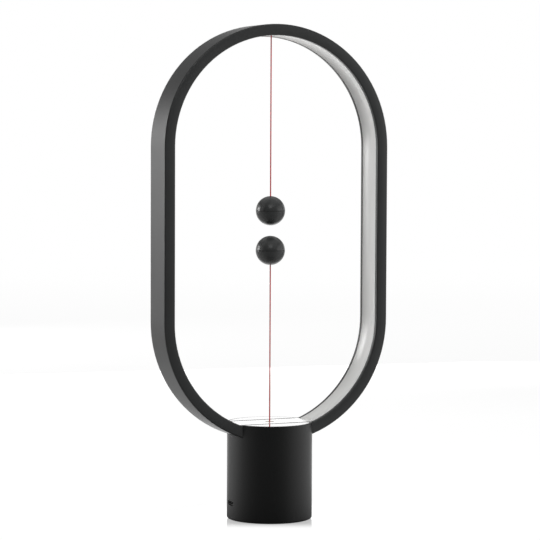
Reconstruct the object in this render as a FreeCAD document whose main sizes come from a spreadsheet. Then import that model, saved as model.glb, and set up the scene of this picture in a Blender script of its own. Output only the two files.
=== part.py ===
import FreeCAD, Part
import math
import os
import re
import Sketcher

# Balance lamp: an upright oval light ring stands in a round weighted base. Two balls with magnets
# hang and stand on cords inside the ring. Lifting the lower ball pulls a plunger in the base up,
# and the plunger's head works a small switch.
# Frame: origin on the floor under the middle of the base, +Z up, ring in the XZ plane, front is -Y.

Vector = FreeCAD.Vector
doc = FreeCAD.newDocument("balance_lamp")

# ---------------------------------------------------------------- driving sizes, in millimetres
sheet = doc.addObject("Spreadsheet::Sheet", "Sizes")
DRIVING_SIZES = [
    ("overall_height", 400, "floor to the top of the ring"),
    ("ring_width", 196, "outside width of the ring"),
    ("ring_depth", 31.8, "front face to rear face, over their crowns"),
    ("ring_wall", 9.1, "outside face to inside face"),
    ("ring_crown", 0.35, "rise of the front and rear faces towards their middle"),
    ("ring_edge", 1.2, "rounding of the ring's long edges"),
    ("lip_width", 3.8, "side walls of the ring's channel"),
    ("back_wall", 2.4, "floor of the ring's channel"),
    ("diffuser_inset", 0.25, "diffuser below the lips"),
    ("diffuser_wall", 1.6, "thickness of the diffuser"),
    ("diffuser_dish", 1.3, "middle of the diffuser below its edges"),
    ("fit_gap", 0.1, "clearance round a part that is laid in"),
    ("glue_gap", 0.05, "adhesive film"),
    ("board_wall", 1, "thickness of the light strip's board"),
    ("strip_board_width", 8, "width of the light strip's board"),
    ("chip_length", 3.5, "light chip, across the strip"),
    ("chip_width", 2.8, "light chip, along the strip"),
    ("chip_height", 0.8, "light chip, off the board"),
    ("leg_chip_count", 8, "light chips on each straight leg"),
    ("bow_chip_count", 16, "light chips on each half circle"),
    ("base_width", 69.2, "diameter of the base"),
    ("base_height", 79, "floor to the top of the base"),
    ("base_wall", 3, "wall of the base housing"),
    ("ring_meet", 2.49, "where the ring's inside surfaces at the base's top, in from the rim"),
    ("rim_wall", 1.5, "rim left outside the rebates"),
    ("top_edge", 0.6, "rounding of the base's top edge"),
    ("foot_edge", 1.6, "rounding of the base's foot edge"),
    ("foot_gap", 0.5, "housing above the floor"),
    ("cover_wall", 2, "thickness of the top covers"),
    ("cover_rib_wall", 1.6, "rib under a top cover, thickness"),
    ("cover_rib_depth", 6, "rib under a top cover, depth"),
    ("cover_rib_inset", 11.3, "end of the rib under a top cover, in from the rim"),
    ("strip_wall", 1.6, "thickness of the top strip"),
    ("strip_end_wall", 0.52, "thickness left at the ends of the top strip"),
    ("floor_wall", 2.9, "thickness of the bottom cover"),
    ("pad_wall", 1.3, "thickness of the foot pad"),
    ("pad_inset", 5.3, "edge of the foot pad, in from the housing's face"),
    ("post_radius", 3.5, "screw posts of the housing"),
    ("post_inset", 6, "middle of a post, in from the housing's face"),
    ("plate_drop", 5.9, "underside of the chassis plate below the ring"),
    ("plate_wall", 2, "thickness of the chassis plate"),
    ("saddle_inset", 18.3, "ring saddle, near side in from the housing's face"),
    ("saddle_length", 8, "ring saddle, along X"),
    ("saddle_side", 2, "ring saddle, in from the ring's face"),
    ("ring_screw_side", 6.5, "ring screws, in from the ring's face"),
    ("screw_radius", 1.2, "shaft of the assembly screws"),
    ("screw_head_radius", 2.4, "head of the assembly screws"),
    ("screw_head_height", 1.4, "head of the assembly screws"),
    ("thread_gap", 0.05, "pilot hole round a screw"),
    ("chassis_screw_length", 8, "under the head"),
    ("bottom_screw_length", 9, "under the head"),
    ("ring_screw_bite", 2, "screw inside the ring's wall"),
    ("plunger_radius", 2, "rod of the plunger"),
    ("slide_gap", 0.08, "running gap round the rod"),
    ("sleeve_wall", 1.5, "wall of the guide sleeve"),
    ("sleeve_foot", 1, "sleeve below the chassis plate"),
    ("sleeve_flange_radius", 7, "flange on the chassis plate"),
    ("sleeve_flange_wall", 1.5, "flange on the chassis plate"),
    ("head_drop", 12, "top of the plunger's head below the chassis plate"),
    ("head_radius", 6.5, "plunger's head"),
    ("head_wall", 2.5, "plunger's head"),
    ("spring_radius", 3.05, "mean radius of the return spring"),
    ("spring_wire", 0.5, "wire of the return spring"),
    ("spring_turns", 5, "turns of the return spring"),
    ("mouth_radius", 3.1, "flared mouth of the cord eyelet"),
    ("mouth_depth", 1.4, "flared mouth of the cord eyelet"),
    ("eyelet_radius", 3.9, "outside of the cord eyelet"),
    ("cord_width", 1, "diameter of the cords"),
    ("bead_radius", 1.1, "bead at a cord's fixed end"),
    ("socket_gap", 0.1, "clearance round a bead"),
    ("socket_lip", 0.2, "socket past the bead's middle"),
    ("bead_gap", 0.1, "cord's end from its bead"),
    ("anchor_radius", 1.8, "barrel of the upper anchor"),
    ("anchor_flange_radius", 3.2, "flange of the upper anchor"),
    ("anchor_flange_wall", 0.8, "flange of the upper anchor"),
    ("ball_radius", 11.85, "both balls"),
    ("upper_ball_z", 250.25, "middle of the upper ball"),
    ("lower_ball_z", 218.15, "middle of the lower ball"),
    ("seam_bevel", 0.18, "bevel at the seam of the ball halves"),
    ("magnet_radius", 6, "disc magnet"),
    ("magnet_height", 5, "disc magnet"),
    ("magnet_seat", 7.2, "bottom of the magnet's seat from the ball's middle"),
    ("spigot_wall", 1.3, "spigot that clamps the magnet"),
    ("cavity_height", 7.5, "roof of the cord's cavity from the ball's middle"),
    ("crimp_radius", 1.2, "crimp on the cord's end"),
    ("crimp_height", 3, "crimp on the cord's end"),
    ("crimp_gap", 0.03, "clearance of the cord in its crimp"),
    ("crimp_depth", 2.5, "cord inside its crimp"),
    ("hole_gap", 0.05, "clearance round a cord in a ball"),
    ("switch_length", 12.8, "switch body"),
    ("switch_width", 5.8, "switch body"),
    ("switch_height", 6.5, "switch body"),
    ("switch_x", 7, "near end of the switch body"),
    ("lever_wall", 0.3, "switch lever"),
    ("lever_width", 3.6, "switch lever"),
    ("lever_tip_x", 3.8, "tip of the lever from the plunger's axis"),
    ("lever_pivot_x", 19.2, "pivot of the lever from the plunger's axis"),
    ("knuckle_radius", 0.4, "rolled end of the lever"),
    ("lever_gap", 0.1, "lever above the plunger's head"),
    ("touch_gap", 0.05, "button and lever"),
    ("button_x", 11.9, "switch button from the plunger's axis"),
    ("button_radius", 0.9, "switch button"),
    ("button_height", 2.4, "switch button"),
    ("terminal_length", 3, "switch terminal"),
    ("terminal_width", 2, "switch terminal"),
    ("terminal_wall", 0.5, "switch terminal"),
    ("terminal_pitch", 5, "switch terminal"),
    ("switch_screw_radius", 0.95, "screws through the switch"),
    ("switch_screw_pitch", 6.5, "screws through the switch"),
    ("switch_screw_head", 1.7, "head radius of the switch screws"),
    ("rib_wall", 2, "rib that carries the switch"),
    ("ballast_height", 7.8, "steel ballast"),
    ("ballast_gap", 0.8, "ballast inside the housing"),
    ("notch_gap", 0.5, "ballast round a post"),
    ("tray_wall", 0.8, "board tray"),
    ("tray_rim", 2.4, "height of the board tray's rim"),
    ("circuit_wall", 1.2, "control board"),
    ("circuit_inset", 5.3, "left edge of the control board, in from the housing's face"),
    ("circuit_length", 26, "control board"),
    ("circuit_width", 20, "control board"),
    ("usb_width", 8, "shell of the port"),
    ("usb_height", 2.9, "shell of the port"),
    ("usb_length", 7, "shell of the port"),
    ("usb_wall", 0.35, "sheet of the port's shell"),
    ("usb_recess", 0.8, "port behind the housing's face"),
    ("tongue_wall", 0.6, "tongue of the port"),
    ("tongue_width", 4, "tongue of the port"),
    ("port_width", 10.5, "opening for the port"),
    ("port_height", 4.2, "opening for the port"),
    ("wire_radius", 0.6, "inner leads"),
    ("wire_bend", 1.8, "bend radius of the inner leads"),
    ("wire_side", 12, "inner leads from the middle plane"),
    ("led_wire_x", 10, "light strip's leads from the middle"),
    ("led_wire_pitch", 2, "light strip's leads"),
    ("switch_wire_x", 20.5, "nearer switch lead's end, from the control board's left edge"),
    ("switch_wire_y", 7.75, "ends of the switch leads from the middle plane"),
    ("switch_wire_pitch", 3, "from one switch lead to the other"),
    ("switch_wire_rise", 9, "upper switch lead's run above the control board"),
    ("driver_x", 9, "driver chip, from the control board's left edge"),
    ("driver_length", 5, "driver chip"),
    ("driver_width", 4, "driver chip"),
    ("driver_height", 1.5, "driver chip"),
    ("coil_x", 13.5, "coil, from the control board's left edge"),
    ("coil_y", 6, "coil and capacitors from the middle plane"),
    ("coil_radius", 3, "coil"),
    ("coil_height", 3.2, "coil"),
    ("capacitor_x", 19.5, "first capacitor, from the control board's left edge"),
    ("capacitor_pitch", 4.3, "from one capacitor to the other"),
    ("capacitor_radius", 1.8, "capacitor"),
    ("capacitor_height", 4.5, "capacitor"),
    ("resistor_x", 15, "resistors, from the control board's left edge"),
    ("resistor_y", 5, "first resistor from the middle plane"),
    ("resistor_pitch", 2.5, "from one resistor to the other"),
    ("resistor_length", 2, "resistor"),
    ("resistor_width", 1.2, "resistor"),
    ("resistor_height", 0.6, "resistor"),
]
# Sizes that follow from the driving ones. They are formulas in the same sheet.
DERIVED_SIZES = [
    ("ring_foot_z", "base_height - ring_width / 2"
     " + sqrt((ring_width / 2 - ring_wall)^2 - (base_width / 2 - ring_meet)^2)", "lowest point of the ring"),
    ("crown_radius", "ring_wall^2 / (8 * ring_crown) + ring_crown / 2", "radius of the front and rear faces"),
    ("crown_lay", "ring_depth / 2 - crown_radius", "centre of a face's crown from the middle plane"),
    ("edge_rise", "sqrt((crown_radius - ring_edge)^2 - (ring_wall / 2 - ring_edge)^2)",
     "centre of an edge's rounding from the centre of the crown"),
    ("edge_share", "crown_radius / (crown_radius - ring_edge)", "where a rounding runs into the crown"),
    ("dish_radius", "(ring_depth / 2 - lip_width - fit_gap)^2 / (2 * diffuser_dish) + diffuser_dish / 2",
     "radius of the diffuser's hollow face"),
    ("plate_z", "ring_foot_z - plate_drop", "underside of the chassis plate"),
    ("head_z", "plate_z - head_drop", "top of the plunger's head"),
    ("post_circle", "base_width / 2 - post_inset", "radius of the circle of posts"),
    ("pad_radius", "base_width / 2 - pad_inset", "radius of the foot pad"),
    ("saddle_inner", "base_width / 2 - saddle_inset", "ring saddle, near side from the middle"),
    ("saddle_middle", "saddle_inner + saddle_length / 2", "middle of a ring saddle"),
    ("saddle_half_width", "ring_depth / 2 - saddle_side", "ring saddle, half of its width"),
    ("ring_screw_y", "ring_depth / 2 - ring_screw_side", "ring screws from the middle plane"),
    ("cover_rib_reach", "base_width / 2 - cover_rib_inset", "rib under a top cover, half length"),
    ("strip_lay", "ring_width / 2 - ring_wall + diffuser_inset + diffuser_dish - fit_gap",
     "radius of the top strip's ends, at its middle line"),
    ("strip_reach", "sqrt(strip_lay^2 - (ring_foot_z + ring_width / 2 - base_height + strip_end_wall)^2)",
     "half length of the top strip"),
    ("circuit_left", "base_width / 2 - circuit_inset", "left edge of the control board"),
]
for row, (alias, value, note) in enumerate(DRIVING_SIZES, start=1):
    sheet.set(f"A{row}", alias)
    sheet.set(f"B{row}", str(value))
    sheet.setAlias(f"B{row}", alias)
    sheet.set(f"C{row}", note)
for row, (alias, formula, note) in enumerate(DERIVED_SIZES, start=len(DRIVING_SIZES) + 1):
    sheet.set(f"A{row}", alias)
    sheet.set(f"B{row}", f"={formula}")
    sheet.setAlias(f"B{row}", alias)
    sheet.set(f"C{row}", note)
doc.recompute()
ALIASES = {alias for alias, value, note in DRIVING_SIZES + DERIVED_SIZES}
NEAR = 0.01  # how closely an edge's place is compared when edges are picked

# Places worked out from the driving sizes.
LOW = "(ring_foot_z + ring_width / 2)"  # height of the lower half circle's centre
HIGH = "(overall_height - ring_width / 2)"  # height of the upper half circle's centre
RING_INSIDE = "(ring_width / 2 - ring_wall)"
RING_MIDDLE = "(ring_width / 2 - ring_wall / 2)"
EDGE_LAY = "(crown_lay + edge_rise)"  # where a side of the ring runs into an edge's rounding
TOUCH_SIDE = "((ring_wall / 2 - ring_edge) * edge_share)"  # where the rounding runs into the crown
TOUCH_LAY = "(crown_lay + edge_rise * edge_share)"
CHANNEL = "(ring_width / 2 - back_wall)"
DIFFUSER_INSIDE = "(ring_width / 2 - ring_wall + diffuser_inset)"
DIFFUSER_DEEP = f"({DIFFUSER_INSIDE} + diffuser_dish)"  # its face at the middle line
DIFFUSER_BACK = f"({DIFFUSER_DEEP} + diffuser_wall)"
DIFFUSER_WIDTH = "(ring_depth - 2 * lip_width - 2 * fit_gap)"
DISH_CENTRE = f"({DIFFUSER_DEEP} - dish_radius)"
STRIP_BOARD = f"({CHANNEL} - glue_gap)"
BASE_RADIUS = "(base_width / 2)"
BASE_INSIDE = "(base_width / 2 - base_wall)"
REBATE = "(base_width / 2 - rim_wall)"
FLOOR_TOP = "(foot_gap + floor_wall)"
PLATE_TOP = "(plate_z + plate_wall)"
SLEEVE_BORE = "(plunger_radius + slide_gap)"
SLEEVE_RADIUS = f"({SLEEVE_BORE} + sleeve_wall)"
SLEEVE_TOP = "(base_height - strip_wall - glue_gap)"
SOCKET = "(bead_radius + socket_gap)"
LOWER_PIVOT = "(base_height - bead_radius)"
UPPER_PIVOT = f"({HIGH} + {DIFFUSER_DEEP} + socket_lip)"
LEVER_Z = "(head_z + lever_gap)"
BUTTON_Z = f"({LEVER_Z} + lever_wall + touch_gap)"
SWITCH_Z = f"({LEVER_Z} + 2 * knuckle_radius + touch_gap)"
SWITCH_TOP = f"({SWITCH_Z} + switch_height)"
BALLAST_TOP = f"({FLOOR_TOP} + ballast_height)"
CIRCUIT_Z = f"({BALLAST_TOP} + tray_wall)"
CIRCUIT_TOP = f"({CIRCUIT_Z} + circuit_wall)"
USB_Z = f"({CIRCUIT_TOP} + usb_height / 2)"
USB_MOUTH = "(base_width / 2 - usb_recess)"
POST_ANGLES = (0, 120, 240)


def linked(expression):
    """An expression with each size's name turned into a link to its cell."""
    return re.sub(r"[a-z_]+", lambda word: f"Sizes.{word[0]}" if word[0] in ALIASES else word[0], expression)


def size(expression):
    """The number that an expression of the driving sizes gives."""
    return float(sheet.evalExpression(linked(expression)))


def bind(thing, name, expression):
    thing.setExpression(name, linked(expression))


# ---------------------------------------------------------------- small helpers for sketched bodies
def new_body(label):
    body = doc.addObject("PartDesign::Body", label)
    body.Label = label
    return body


def sketch_on(body, role, offset="0"):
    """A sketch on one of the body's own origin planes, moved along that plane's normal."""
    sketch = body.newObject("Sketcher::SketchObject", f"{body.Name}_sketch")
    plane = [feature for feature in body.Origin.OriginFeatures if feature.Role == role][0]
    sketch.AttachmentSupport = [(plane, "")]
    sketch.MapMode = "FlatFace"
    bind(sketch, "AttachmentOffset.Base.z", offset)
    return sketch


def fix(sketch, kind, geometry, corner, expression):
    index = sketch.addConstraint(Sketcher.Constraint(kind, -1, 1, geometry, corner, size(expression)))
    bind(sketch, f"Constraints[{index}]", expression)


def circle(sketch, x, y, radius):
    centre = Vector(size(x), size(y), 0)
    geometry = sketch.addGeometry(Part.Circle(centre, Vector(0, 0, 1), size(radius)))
    fix(sketch, "DistanceX", geometry, 3, x)
    fix(sketch, "DistanceY", geometry, 3, y)
    index = sketch.addConstraint(Sketcher.Constraint("Radius", geometry, size(radius)))
    bind(sketch, f"Constraints[{index}]", radius)


def outline(sketch, corners):
    """A closed outline. A corner is (x, y), or (x, y, centre x, centre y, turn) where an arc starts."""
    points = [(size(corner[0]), size(corner[1])) for corner in corners]
    ends = []
    for index, corner in enumerate(corners):
        start, stop = points[index], points[(index + 1) % len(points)]
        if len(corner) == 2:
            line = Part.LineSegment(Vector(*start, 0), Vector(*stop, 0))
            ends.append((sketch.addGeometry(line), 1, 2))
            continue
        centre = (size(corner[2]), size(corner[3]))
        radius = math.dist(centre, start)
        angles = [math.atan2(point[1] - centre[1], point[0] - centre[0]) for point in (start, stop)]
        order = (1, 2) if corner[4] == "ccw" else (2, 1)
        angles = angles if corner[4] == "ccw" else angles[::-1]
        whole = Part.Circle(Vector(*centre, 0), Vector(0, 0, 1), radius)
        ends.append((sketch.addGeometry(Part.ArcOfCircle(whole, *angles)), *order))
    for index, corner in enumerate(corners):
        geometry, start, stop = ends[index]
        before, before_stop = ends[index - 1][0], ends[index - 1][2]
        sketch.addConstraint(Sketcher.Constraint("Coincident", before, before_stop, geometry, start))
        previous = corners[index - 1]
        sides = {"DistanceX": corner[0], "DistanceY": corner[1]}
        if len(previous) == 5:
            # An arc's far end already lies on its circle, so one coordinate settles it.
            across = abs(points[index][0] - size(previous[2]))
            up = abs(points[index][1] - size(previous[3]))
            del sides["DistanceX" if across >= up else "DistanceY"]
        for kind, expression in sides.items():
            fix(sketch, kind, geometry, start, expression)
        if len(corner) == 5:
            fix(sketch, "DistanceX", geometry, 3, corner[2])
            fix(sketch, "DistanceY", geometry, 3, corner[3])


def rectangle(sketch, left, right, bottom, top):
    outline(sketch, [(left, bottom), (right, bottom), (right, top), (left, top)])


def stadium(sketch, radius):
    """The ring's oval at some distance from its middle line."""
    left = f"-({radius})"
    outline(sketch, [(left, LOW, "0", LOW, "ccw"), (radius, LOW),
                     (radius, HIGH, "0", HIGH, "ccw"), (left, HIGH)])


def feature(body, kind, sketch, length, symmetric=False):
    made = body.newObject(f"PartDesign::{kind}", f"{body.Name}_{kind.lower()}")
    made.Profile = sketch
    bind(made, "Length", length)
    if symmetric:
        made.SideType = "Symmetric"
    return made


def revolve(body, kind, sketch, angle=360, backwards=False):
    """The profile in the sketch turned round the sketch's upright axis."""
    made = body.newObject(f"PartDesign::{kind}", f"{body.Name}_{kind.lower()}")
    made.Profile = sketch
    made.ReferenceAxis = (sketch, ["V_Axis"])
    made.Angle = angle
    made.Reversed = backwards
    return made


def sweep_round_oval(body, section):
    """A section carried round the ring's oval. section draws it for the +X leg, or with -1 for the other."""
    bow = sketch_on(body, "XY_Plane", HIGH)
    section(bow, 1)
    revolve(body, "Revolution", bow, 180, backwards=True)
    legs = sketch_on(body, "XY_Plane", LOW)
    section(legs, 1)
    section(legs, -1)
    feature(body, "Pad", legs, f"{HIGH} - {LOW}")
    bow = sketch_on(body, "XY_Plane", LOW)
    section(bow, 1)
    revolve(body, "Revolution", bow, 180)


def mirrored(side, corners):
    """The corners of an outline as they are, or with -1 on the other side of the upright axis."""
    if side > 0:
        return corners
    turned = {"ccw": "cw", "cw": "ccw"}
    return [(f"-({corner[0]})", corner[1]) if len(corner) == 2
            else (f"-({corner[0]})", corner[1], f"-({corner[2]})", corner[3], turned[corner[4]])
            for corner in corners]


def round_edges(body, base, radius, chosen, kind="Fillet"):
    """Rounds the edges of the body so far that a test picks."""
    doc.recompute()
    names = [f"Edge{index}" for index, edge in enumerate(base.Shape.Edges, start=1) if chosen(edge)]
    made = body.newObject(f"PartDesign::{kind}", f"{body.Name}_{kind.lower()}")
    made.Base = (base, names)
    bind(made, "Radius" if kind == "Fillet" else "Size", radius)
    return made


def three_times(body, first):
    """The feature and its two copies, a third of a turn apart."""
    pattern = body.newObject("PartDesign::PolarPattern", f"{body.Name}_pattern")
    pattern.Originals = [first]
    axis = [item for item in body.Origin.OriginFeatures if item.Role == "Z_Axis"][0]
    pattern.Axis = (axis, [""])
    pattern.Angle = 360
    pattern.Occurrences = len(POST_ANGLES)
    body.Tip = pattern
    return pattern


def plain(label, shape, place=Vector()):
    """A piece, or a group of like pieces, whose shape is made directly."""
    made = doc.addObject("Part::Feature", label)
    made.Label = label
    made.Shape = shape
    made.Placement.Base = place
    return made


def block(label, left, front, bottom, length, width, height):
    made = doc.addObject("Part::Box", label)
    made.Label = label
    for name, expression in (("Placement.Base.x", left), ("Placement.Base.y", front),
                             ("Placement.Base.z", bottom), ("Length", length),
                             ("Width", width), ("Height", height)):
        bind(made, name, expression)
    return made


def rod(label, x, y, bottom, radius, height):
    made = doc.addObject("Part::Cylinder", label)
    made.Label = label
    for name, expression in (("Placement.Base.x", x), ("Placement.Base.y", y),
                             ("Placement.Base.z", bottom), ("Radius", radius), ("Height", height)):
        bind(made, name, expression)
    return made


# ---------------------------------------------------------------- ring
def ring_frame():
    """Oval channel, open to the inside, with crowned faces. Its foot is filled up to the base's top."""
    body = new_body("ring_frame")
    outside, inside = "(ring_width / 2)", RING_INSIDE
    outer_bend, inner_bend = f"({outside} - ring_edge)", f"({inside} + ring_edge)"
    outer_touch, inner_touch = f"({RING_MIDDLE} + {TOUCH_SIDE})", f"({RING_MIDDLE} - {TOUCH_SIDE})"

    def section(sketch, side):
        outline(sketch, mirrored(side, [
            (outside, f"-{EDGE_LAY}"), (outside, EDGE_LAY, outer_bend, EDGE_LAY, "ccw"),
            (outer_touch, TOUCH_LAY, RING_MIDDLE, "crown_lay", "ccw"),
            (inner_touch, TOUCH_LAY, inner_bend, EDGE_LAY, "ccw"),
            (inside, EDGE_LAY), (inside, f"-{EDGE_LAY}", inner_bend, f"-{EDGE_LAY}", "ccw"),
            (inner_touch, f"-{TOUCH_LAY}", RING_MIDDLE, "-crown_lay", "ccw"),
            (outer_touch, f"-{TOUCH_LAY}", outer_bend, f"-{EDGE_LAY}", "ccw"),
        ]))

    sweep_round_oval(body, section)
    sketch = sketch_on(body, "XZ_Plane")
    flat = f"sqrt({RING_MIDDLE}^2 - ({LOW} - base_height)^2)"
    outline(sketch, [(f"-{flat}", "base_height", "0", LOW, "ccw"), (flat, "base_height")])
    feature(body, "Pad", sketch, f"2 * {TOUCH_LAY}", symmetric=True)
    sketch = sketch_on(body, "XZ_Plane")
    stadium(sketch, CHANNEL)
    feature(body, "Pocket", sketch, "ring_depth - 2 * lip_width", symmetric=True)
    sketch = sketch_on(body, "XY_Plane", "ring_foot_z + ring_wall")
    circle(sketch, "0", "0", f"{SLEEVE_RADIUS} + 2 * fit_gap")
    circle(sketch, "-led_wire_x", "0", "led_wire_pitch")
    for x in ("saddle_middle", "-saddle_middle"):
        for y in ("ring_screw_y", "-ring_screw_y"):
            circle(sketch, x, y, "screw_radius + thread_gap")
    feature(body, "Pocket", sketch, "2 * ring_wall")
    return body


def ring_diffuser():
    """Closed band between the lips, hollow towards the inside of the ring."""
    body = new_body("ring_diffuser")
    half = f"({DIFFUSER_WIDTH} / 2)"
    back = f"({DISH_CENTRE} + sqrt((dish_radius + diffuser_wall)^2 - {half}^2))"

    def section(sketch, side):
        outline(sketch, mirrored(side, [
            (back, f"-{half}", DISH_CENTRE, "0", "ccw"), (back, half),
            (DIFFUSER_INSIDE, half, DISH_CENTRE, "0", "cw"), (DIFFUSER_INSIDE, f"-{half}"),
        ]))

    sweep_round_oval(body, section)
    sketch = sketch_on(body, "XY_Plane", "ring_foot_z + 2 * ring_wall")
    circle(sketch, "0", "0", f"{SLEEVE_RADIUS} + 2 * fit_gap")
    feature(body, "Pocket", sketch, "2 * ring_wall")
    sketch = sketch_on(body, "XY_Plane", "overall_height")
    circle(sketch, "0", "0", "anchor_radius + fit_gap")
    feature(body, "Pocket", sketch, "2 * ring_wall")
    return body


def led_strip_board():
    """Closed band on the floor of the channel."""
    body = new_body("led_strip_board")
    sketch = sketch_on(body, "XZ_Plane")
    stadium(sketch, STRIP_BOARD)
    stadium(sketch, f"{STRIP_BOARD} - board_wall")
    feature(body, "Pad", sketch, "strip_board_width", symmetric=True)
    sketch = sketch_on(body, "XY_Plane", "ring_foot_z + 2 * ring_wall")
    circle(sketch, "0", "0", f"{SLEEVE_RADIUS} + 2 * fit_gap")
    feature(body, "Pocket", sketch, "2 * ring_wall")
    return body


def led_chips():
    """Light chips at even steps on the board, none of them at the top or bottom middle."""
    face = size(f"{STRIP_BOARD} - board_wall - glue_gap")
    low, high = size(LOW), size(HIGH)
    chip_size = (size("chip_height"), size("chip_length"), size("chip_width"))
    on_leg, on_bow = int(size("leg_chip_count")), int(size("bow_chip_count"))
    chips = []

    def add_chip(centre_z, angle, rise=0.0):
        chip = Part.makeBox(*chip_size, Vector(face - chip_size[0], -chip_size[1] / 2, rise - chip_size[2] / 2))
        chip.rotate(Vector(), Vector(0, -1, 0), angle)
        chip.translate(Vector(0, 0, centre_z))
        chips.append(chip)

    for index in range(on_leg):
        rise = (high - low) * (index + 0.5) / on_leg
        add_chip(low, 0, rise)
        add_chip(low, 180, -rise)
    for index in range(on_bow):
        angle = 180 * (index + 0.5) / on_bow
        add_chip(high, angle)
        add_chip(low, angle + 180)
    return plain("led_chips", Part.makeCompound(chips))


def ring_screws():
    """Four screws from under the chassis plate, through its saddles, into the ring's wall."""
    reach = size("saddle_middle")
    bite_z = size(LOW) - math.sqrt(size("ring_width / 2") ** 2 - reach ** 2)
    under = size("plate_z")
    screws = []
    for x in (-reach, reach):
        for y in (-size("ring_screw_y"), size("ring_screw_y")):
            shaft = bite_z + size("ring_screw_bite") - under
            head = Part.makeCylinder(size("screw_head_radius"), size("screw_head_height"),
                                     Vector(x, y, under), Vector(0, 0, -1))
            screws.append(head.fuse(Part.makeCylinder(size("screw_radius"), shaft, Vector(x, y, under))))
    return plain("ring_screws", Part.makeCompound(screws))


# ---------------------------------------------------------------- base
def base_housing():
    """Turned tube with three screw posts, slots for the ring's legs and the port's opening."""
    body = new_body("base_housing")
    sketch = sketch_on(body, "XY_Plane", "foot_gap")
    circle(sketch, "0", "0", BASE_RADIUS)
    circle(sketch, "0", "0", BASE_INSIDE)
    tube = feature(body, "Pad", sketch, "base_height - foot_gap")

    def outer_rim(edge_z):
        def chosen(edge):
            box = edge.BoundBox
            wide = box.XLength > size("base_width") - NEAR
            return wide and box.ZLength < NEAR and abs(box.ZMin - edge_z) < NEAR
        return chosen

    rounded = round_edges(body, tube, "top_edge", outer_rim(size("base_height")))
    round_edges(body, rounded, "foot_edge", outer_rim(size("foot_gap")))
    sketch = sketch_on(body, "XY_Plane", "base_height")
    circle(sketch, "0", "0", REBATE)
    feature(body, "Pocket", sketch, "cover_wall")
    sketch = sketch_on(body, "XY_Plane", FLOOR_TOP)
    circle(sketch, "0", "0", REBATE)
    feature(body, "Pocket", sketch, "floor_wall")
    sketch = sketch_on(body, "XY_Plane", FLOOR_TOP)
    circle(sketch, "post_circle", "0", "post_radius")
    circle(sketch, "post_circle", "0", "screw_radius + thread_gap")
    three_times(body, feature(body, "Pad", sketch, f"plate_z - {FLOOR_TOP}"))
    sketch = sketch_on(body, "XZ_Plane")
    circle(sketch, "0", LOW, "ring_width / 2 + fit_gap")
    feature(body, "Pocket", sketch, "ring_depth + 2 * fit_gap", symmetric=True)
    sketch = sketch_on(body, "YZ_Plane")
    half = "(port_width / 2 - port_height / 2)"
    low, high = f"({USB_Z} - port_height / 2)", f"({USB_Z} + port_height / 2)"
    outline(sketch, [(f"-{half}", low), (half, low, half, USB_Z, "ccw"),
                     (half, high), (f"-{half}", high, f"-{half}", USB_Z, "ccw")])
    feature(body, "Pocket", sketch, "base_width")
    return body


def top_cover(label, turn):
    """Segment that closes the top beside the ring, with a stiffening rib against the ring's side."""
    body = new_body(label)
    edge = "(ring_depth / 2 + fit_gap)"
    round_part = f"({REBATE} - fit_gap)"
    reach = f"sqrt({round_part}^2 - {edge}^2)"
    sketch = sketch_on(body, "XY_Plane", "base_height - cover_wall")
    outline(sketch, [(f"-{reach}", f"-{edge}", "0", "0", "ccw"), (reach, f"-{edge}")])
    feature(body, "Pad", sketch, "cover_wall")
    sketch = sketch_on(body, "XY_Plane", "base_height - cover_wall - cover_rib_depth")
    rectangle(sketch, "-cover_rib_reach", "cover_rib_reach",
              f"-{edge} - cover_rib_wall", f"-{edge}")
    feature(body, "Pad", sketch, "cover_rib_depth")
    body.Placement.Rotation = FreeCAD.Rotation(Vector(0, 0, 1), turn)
    return body


def top_strip():
    """Pale strip level with the base's top. Its ends are cut to lie on the hollow diffuser."""
    body = new_body("top_strip")
    sketch = sketch_on(body, "XZ_Plane")
    rectangle(sketch, "-strip_reach", "strip_reach", "base_height - strip_wall", "base_height")
    feature(body, "Pad", sketch, DIFFUSER_WIDTH, symmetric=True)
    sketch = sketch_on(body, "XY_Plane", LOW)
    side = "(ring_depth / 2)"
    lay = f"({DISH_CENTRE} + sqrt((dish_radius - fit_gap)^2 - {side}^2))"
    outline(sketch, [
        ("(ring_width / 2)", f"-{side}"), ("(ring_width / 2)", side),
        (lay, side, DISH_CENTRE, "0", "cw"), (lay, f"-{side}"),
    ])
    revolve(body, "Groove", sketch)
    sketch = sketch_on(body, "XY_Plane", "base_height + strip_wall")
    circle(sketch, "0", "0", "eyelet_radius + fit_gap")
    feature(body, "Pocket", sketch, "3 * strip_wall")
    return body


def cord_eyelet():
    """Ring with a flared mouth, level with the top strip, that guides the lower cord."""
    body = new_body("cord_eyelet")
    sketch = sketch_on(body, "XZ_Plane")
    foot = "(base_height - strip_wall)"
    outline(sketch, [
        (SLEEVE_BORE, foot), ("eyelet_radius", foot), ("eyelet_radius", "base_height"),
        ("mouth_radius", "base_height"), (SLEEVE_BORE, "base_height - mouth_depth"),
    ])
    revolve(body, "Revolution", sketch)
    return body


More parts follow.
